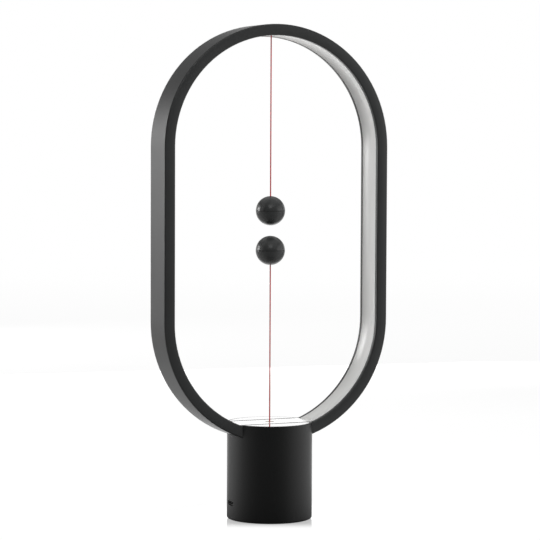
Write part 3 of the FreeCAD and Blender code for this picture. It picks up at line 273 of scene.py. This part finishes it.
# Nickel plate on stamped sheet: a dark satin grey with rolling marks along the port.
port_steel, tree, shader = new_material("nickel_plated_sheet", Metallic=1.0)
drifting(tree, shader, ("5E5F60", "747472"), (0.35, 0.5), 2)
grained(tree, shader, 0.5, 0.01, (0.2, 1, 1))
finish(port_steel, "usb_shell")

# Extruded PVC: red with a soft gloss.
lead_sheath, tree, shader = new_material("extruded_pvc_sheath", IOR=1.53)
drifting(tree, shader, ("8E1512", "A31B16"), (0.35, 0.5), 4)
grained(tree, shader, 0.6, 0.01)
finish(lead_sheath, "switch_leads", "led_leads")


# ---------------------------------------------------------------- pull switch
# The lower cord ends in a bead in the top of an acetal plunger, which the magnets hold up. Let go, a
# coil spring draws it down, and its head pushes a sprung leaf onto the button of a small switch.

# Acetal in its natural colour: a waxy off-white.
acetal, tree, shader = new_material("natural_acetal", IOR=1.48)
drifting(tree, shader, ("D9D9D3", "CFCFC8"), (0.3, 0.42), 4)
grained(tree, shader, 0.5, 0.01)
finish(acetal, "guide_sleeve", "plunger", "switch_button", "cord_eyelet", "upper_cord_anchor")

# Drawn spring steel: bright grey, with a faint fine grain.
spring_steel, tree, shader = new_material("drawn_spring_steel", Metallic=1.0)
drifting(tree, shader, ("8C8E92", "A6A8AA"), (0.2, 0.35), 1)
grained(tree, shader, 0.2, 0.004)
finish(spring_steel, "return_spring", "switch_lever")

# Turned brass: yellow, with fine tool marks that run round it.
brass, tree, shader = new_material("turned_brass", Metallic=1.0)
drifting(tree, shader, ("B8924A", "C9A55C"), (0.2, 0.35), 1)
grained(tree, shader, 0.2, 0.006, (1, 1, 3))
finish(brass, "switch_terminals", "upper_cord_bead", "lower_cord_bead", "upper_cord_crimp",
       "lower_cord_crimp")


# ---------------------------------------------------------------- balls and magnets
# Each ball is two moulded shells round a nickel-plated disc magnet. The shells are tumbled smooth, so
# they are glossier than the ring, and a fine seam runs round the middle.
SEAM_WIDTH = 0.5 * MM  # 0.1 mm in truth, drawn wider so that it shows
SEAM_ROUGHNESS = 0.7

# Tumbled black ABS: dark grey, with soft round highlights.
ball_plastic, tree, shader = new_material("tumbled_black_abs", IOR=1.54)
drifting(tree, shader, ("313232", "343535"), (0.29, 0.33), 14)
grained(tree, shader, 1.2, 0.0001)
skin = shader.inputs["Base Color"].links[0].from_socket
satin = shader.inputs["Roughness"].links[0].from_socket
point = add(tree, "ShaderNodeTexCoord").outputs["Object"]
height = add(tree, "ShaderNodeSeparateXYZ", {0: point}).outputs[2]
seams = []
for ball in ("upper", "lower"):
    middle = (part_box(f"{ball}_ball_bottom_half")[0].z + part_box(f"{ball}_ball_top_half")[1].z) / 2
    band = add(tree, "ShaderNodeMath", {0: height, 1: middle, 2: SEAM_WIDTH / 2}, operation="COMPARE")
    seams.append(band.outputs[0])
seam = add(tree, "ShaderNodeMath", {0: seams[0], 1: seams[1]}, operation="MAXIMUM").outputs[0]
marked = add(tree, "ShaderNodeMix", {"Factor": seam, "A": skin, "B": linear("202121")}, data_type="RGBA")
tree.links.new(marked.outputs["Result"], shader.inputs["Base Color"])
dulled = add(tree, "ShaderNodeMix", {"Factor": seam, "A": satin, "B": SEAM_ROUGHNESS})
tree.links.new(dulled.outputs[0], shader.inputs["Roughness"])
finish(ball_plastic, "upper_ball_top_half", "upper_ball_bottom_half", "lower_ball_top_half",
       "lower_ball_bottom_half")

# Nickel plate on a sintered magnet: a warm, slightly clouded mirror.
magnet_nickel, tree, shader = new_material("nickel_plated_magnet", Metallic=1.0)
drifting(tree, shader, ("B9B8B4", "CBCAC6"), (0.12, 0.25), 3)
grained(tree, shader, 0.5, 0.004)
finish(magnet_nickel, "upper_magnet", "lower_magnet")


# ---------------------------------------------------------------- cords
# Two thin red cords of braided polyester, 1 mm across, are drawn taut by the two magnets. Each has a
# brass bead at its fixed end and a crimp inside its ball.
CORD_DIAMETER = 1.0 * MM
CORD_KNOTS = (0, 0.25, 0.5, 0.75, 1)  # the spline's points, as shares of the cord's length
BRAID_PITCH = 2.4 * MM  # one strand's turn round the cord
BRAID_STRANDS = 4  # strands each way
BRAID_DEPTH = 0.02 * MM

# Braided polyester: a matt red with a faint sheen. The grooves between its strands are painted darker than
# their crowns, as painted shade.
cord_red, tree, shader = new_material("braided_polyester", Roughness=0.7, Sheen_Weight=0.05,
                                      Sheen_Roughness=0.4, IOR=1.5)
point = add(tree, "ShaderNodeTexCoord").outputs["Object"]
axes = add(tree, "ShaderNodeSeparateXYZ", {0: point})
around = add(tree, "ShaderNodeMath", {0: axes.outputs[1], 1: axes.outputs[0]}, operation="ARCTAN2")
twist = add(tree, "ShaderNodeMath", {0: axes.outputs[2], 1: 2 * math.pi / BRAID_PITCH}, operation="MULTIPLY")
waves = []
for way in ("ADD", "SUBTRACT"):
    phase = add(tree, "ShaderNodeMath", {0: around.outputs[0], 1: twist.outputs[0]}, operation=way)
    steps = add(tree, "ShaderNodeMath", {0: phase.outputs[0], 1: float(BRAID_STRANDS)}, operation="MULTIPLY")
    waves.append(add(tree, "ShaderNodeMath", {0: steps.outputs[0]}, operation="SINE").outputs[0])
weave = add(tree, "ShaderNodeMath", {0: waves[0], 1: waves[1]}, operation="MAXIMUM")
strand_height_and_shade = add(tree, "ShaderNodeMapRange", {"Value": weave.outputs[0], "From Min": 0.0, "From Max": 1.0})
# Painted shade: the red is darker down in the grooves between strands and lighter on their crowns.
tint = add(tree, "ShaderNodeMix",
           {"Factor": strand_height_and_shade.outputs[0], "A": linear("B41C22"), "B": linear("CC262D")}, data_type="RGBA")
tree.links.new(tint.outputs["Result"], shader.inputs["Base Color"])
bump = add(tree, "ShaderNodeBump", {"Height": strand_height_and_shade.outputs[0], "Distance": BRAID_DEPTH, "Strength": 1.0})
tree.links.new(bump.outputs[0], shader.inputs["Normal"])


def taut_cord(name, body, start_z, end_z):
    """A straight cord on the lamp's axis from its bead to the crimp in its ball."""
    curve = bpy.data.curves.new(name, "CURVE")
    curve.dimensions = "3D"
    curve.bevel_depth = CORD_DIAMETER / 2
    curve.bevel_resolution = 4
    curve.use_fill_caps = True
    spline = curve.splines.new("NURBS")
    spline.points.add(len(CORD_KNOTS) - 1)
    for knot, share in zip(spline.points, CORD_KNOTS):
        knot.co = (0.0, 0.0, start_z + (end_z - start_z) * share, 1.0)
    spline.order_u = 3
    spline.use_endpoint_u = True
    curve.materials.append(cord_red)
    made = bpy.data.objects.new(f"{name}_braid", curve)
    bpy.context.scene.collection.objects.link(made)
    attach(made, body)
    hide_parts(name)


upper_low, upper_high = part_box("upper_cord")
taut_cord("upper_cord", "upper_pendulum", upper_high.z, upper_low.z)
lower_low, lower_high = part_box("lower_cord")
taut_cord("lower_cord", "lower_pendulum", lower_low.z, lower_high.z)


# ---------------------------------------------------------------- studio
# A plain pale floor and plain surroundings, both bright behind the lamp and dim in front of it. A
# small box shines from behind on the left, one from high in front, and a wide wall glows on the
# right. Three more boxes light only the matt surfaces and leave no glint.
FLOOR_RADIUS = 4.0
floor_mesh = bpy.data.meshes.new("floor")
shape = bmesh.new()
bmesh.ops.create_circle(shape, cap_ends=True, segments=96, radius=FLOOR_RADIUS)
shape.to_mesh(floor_mesh)
shape.free()
floor = bpy.data.objects.new("floor", floor_mesh)
bpy.context.scene.collection.objects.link(floor)


def stepped(tree, value, stops):
    """A grey level that follows a value through the stops, which run from -1 to 1."""
    share = add(tree, "ShaderNodeMapRange", {"Value": value, "From Min": -1.0, "From Max": 1.0})
    level = add(tree, "ShaderNodeValToRGB", {0: share.outputs[0]})
    ramp = level.color_ramp
    while len(ramp.elements) < len(stops):
        ramp.elements.new(1.0)
    for element, (place, grey) in zip(ramp.elements, stops):
        element.position = (place + 1) / 2
        element.color = (grey, grey, grey, 1.0)
    return level.outputs[0]


def seen_directly(tree):
    """1 where the camera looks at the surface, straight or through something clear, else 0."""
    path = add(tree, "ShaderNodeLightPath")
    rays = {0: path.outputs["Is Camera Ray"], 1: path.outputs["Is Transmission Ray"]}
    return add(tree, "ShaderNodeMath", rays, operation="MAXIMUM").outputs[0]


# White acrylic that glows on its own, in place of light from underneath. What it shines on the lamp depends
# on the side that a point of it lies on, from -1 straight in front of the lamp to 1 straight behind, and on
# its distance in metres.
GLOW_BY_SIDE = ((-1.0, 0.06), (-0.85, 0.11), (-0.6, 0.24), (-0.3, 0.36), (0.0, 0.5),
                (0.45, 0.54), (0.65, 0.4), (0.78, 0.48), (0.9, 0.95), (1.0, 1.35))
GLOW_BY_DISTANCE = ((-1.0, 0.35), (0.05, 0.35), (0.09, 0.65), (0.2, 1.05), (0.35, 1.3),
                    (0.5, 1.2), (1.0, 0.85))
# Seen directly it is white: this glow and what the boxes add come to about 1, less the lamp's shadow.
# The stops are distances behind the lamp, as shares of the floor's radius.
PALENESS = ((-1.0, 0.92), (0.02, 0.92), (0.17, 0.9), (0.24, 0.86), (0.3, 0.89), (0.47, 0.92),
            (0.8, 0.955), (1.0, 0.96))
FLOOR_GREY = 0.12  # the share of the boxes' light that it scatters
# Seen directly it is also polished close to the base, so that it mirrors the foot. The polish ends
# sooner in front of the base than beside it.
POLISH = 0.47  # the mirror's share where it is strongest
POLISH_EDGE = (0.05, 0.09)  # metres from the lamp's middle: full up to the first, none past the second
POLISH_FRONT = (-0.052, -0.022)  # metres behind its middle: none up to the first, full past the second
MIRROR_ROUGHNESS = 0.08

acrylic = bpy.data.materials.new("white_acrylic")
acrylic.use_nodes = True
tree = acrylic.node_tree
tree.nodes.clear()
point = add(tree, "ShaderNodeTexCoord").outputs["Object"]
distance = add(tree, "ShaderNodeVectorMath", {0: point}, operation="LENGTH").outputs["Value"]
behind = add(tree, "ShaderNodeVectorMath", {0: point, 1: camera_away},
             operation="DOT_PRODUCT").outputs["Value"]
side = add(tree, "ShaderNodeMath", {0: behind, 1: distance}, operation="DIVIDE").outputs[0]
by_side = stepped(tree, side, GLOW_BY_SIDE)
by_distance = stepped(tree, distance, GLOW_BY_DISTANCE)
glow = add(tree, "ShaderNodeVectorMath", {0: by_side, 1: by_distance}, operation="MULTIPLY").outputs[0]
backwards = add(tree, "ShaderNodeMath", {0: behind, 1: FLOOR_RADIUS}, operation="DIVIDE").outputs[0]
paleness = stepped(tree, backwards, PALENESS)
seen = seen_directly(tree)
light = add(tree, "ShaderNodeMix", {"Factor": seen, "A": glow, "B": paleness})
matt = add(tree, "ShaderNodeBsdfDiffuse", {"Color": (FLOOR_GREY, FLOOR_GREY, FLOOR_GREY, 1)})
lit = add(tree, "ShaderNodeEmission", {"Strength": light.outputs[0]})
white = add(tree, "ShaderNodeAddShader", {0: matt.outputs[0], 1: lit.outputs[0]})
near = add(tree, "ShaderNodeMapRange",
           {"Value": behind, "From Min": POLISH_FRONT[0], "From Max": POLISH_FRONT[1],
            "To Min": 0.0, "To Max": POLISH}, interpolation_type="SMOOTHSTEP")
polish = add(tree, "ShaderNodeMapRange",
             {"Value": distance, "From Min": POLISH_EDGE[0], "From Max": POLISH_EDGE[1],
              "To Min": near.outputs[0], "To Max": 0.0}, interpolation_type="SMOOTHSTEP")
mirrors = add(tree, "ShaderNodeMath", {0: seen, 1: polish.outputs[0]}, operation="MULTIPLY")
mirror = add(tree, "ShaderNodeBsdfGlossy", {"Color": (1, 1, 1, 1), "Roughness": MIRROR_ROUGHNESS})
surface = add(tree, "ShaderNodeMixShader", {0: mirrors.outputs[0], 1: white.outputs[0], 2: mirror.outputs[0]})
add(tree, "ShaderNodeOutputMaterial", {"Surface": surface.outputs[0]})
floor_mesh.materials.append(acrylic)

# The surroundings are white where they are seen directly. What they shine on the lamp depends on the
# direction, from -1 towards the camera to 1 away from it, and on its height, from -1 to 1. A sheet
# of paper stands lit straight behind the lamp.
WALLS_BY_SIDE = ((-1.0, 0.04), (-0.9, 0.06), (-0.7, 0.16), (-0.4, 0.24), (0.0, 0.5), (0.45, 0.82),
                 (0.66, 1.15), (1.0, 1.0))
WALLS_BY_HEIGHT = ((-1.0, 0.5), (-0.06, 0.6), (0.0, 1.0), (0.15, 0.8), (0.25, 0.4), (0.32, 0.25),
                   (0.4, 0.16), (0.55, 0.3), (0.75, 0.8), (1.0, 0.9))
PAPER_BY_SIDE = ((-1.0, 0.0), (0.9, 0.0), (0.96, 0.35), (0.982, 1.3), (1.0, 1.45))

world = bpy.data.worlds.new("studio")
bpy.context.scene.world = world
world.use_nodes = True
tree = world.node_tree
tree.nodes.clear()
way = add(tree, "ShaderNodeTexCoord").outputs["Generated"]
side = add(tree, "ShaderNodeVectorMath", {0: way, 1: camera_away}, operation="DOT_PRODUCT").outputs["Value"]
rise = add(tree, "ShaderNodeSeparateXYZ", {0: way}).outputs[2]
by_side = stepped(tree, side, WALLS_BY_SIDE)
by_height = stepped(tree, rise, WALLS_BY_HEIGHT)
paper = stepped(tree, side, PAPER_BY_SIDE)
walls = add(tree, "ShaderNodeVectorMath", {0: by_side, 1: by_height}, operation="MULTIPLY").outputs[0]
light = add(tree, "ShaderNodeVectorMath", {0: walls, 1: paper}, operation="MAXIMUM").outputs[0]
surroundings = add(tree, "ShaderNodeBackground", {"Color": light, "Strength": 1.0})
backdrop = add(tree, "ShaderNodeBackground", {"Color": (1, 1, 1, 1), "Strength": 1.0})
choose = add(tree, "ShaderNodeMixShader",
             {0: seen_directly(tree), 1: surroundings.outputs[0], 2: backdrop.outputs[0]})
add(tree, "ShaderNodeOutputWorld", {"Surface": choose.outputs[0]})


def softbox(name, right, up, toward, distance, width, height, radiance, glints=True, fills=True):
    """A rectangular light that faces the lamp's middle; its place is given as the camera sees it."""
    data = bpy.data.lights.new(name, "AREA")
    data.shape = "RECTANGLE"
    data.size, data.size_y = width, height
    data.energy = radiance * math.pi * width * height
    box = bpy.data.objects.new(name, data)
    place = (camera_right * right + Vector((0, 0, up)) - camera_away * toward).normalized() * distance
    box.location = CAMERA_TARGET + place
    box.rotation_mode = "QUATERNION"
    box.rotation_quaternion = (-place).to_track_quat("-Z", "Y")
    box.visible_camera = False
    box.visible_glossy = glints
    box.visible_diffuse = fills
    bpy.context.scene.collection.objects.link(box)


softbox("left_box", right=-0.93, up=0.18, toward=-0.33, distance=1.5,
        width=0.4, height=0.5, radiance=10.5, fills=False)
softbox("high_front_box", right=0.0, up=0.574, toward=0.819, distance=2.0,
        width=0.75, height=0.5, radiance=2.6)
softbox("right_wall", right=1.0, up=0.2, toward=-0.12, distance=2.0,
        width=3.4, height=1.3, radiance=0.72)
softbox("front_fill", right=0.35, up=0.7, toward=0.6, distance=1.1,
        width=0.8, height=0.8, radiance=4.0, glints=False)
softbox("left_fill", right=-0.62, up=0.05, toward=-0.78, distance=1.8,
        width=1.4, height=0.7, radiance=5.0, glints=False)
softbox("low_rear_fill", right=-0.3, up=-0.14, toward=-0.93, distance=1.2,
        width=1.4, height=0.3, radiance=12.0, glints=False)

bpy.context.scene.view_settings.view_transform = "Standard"
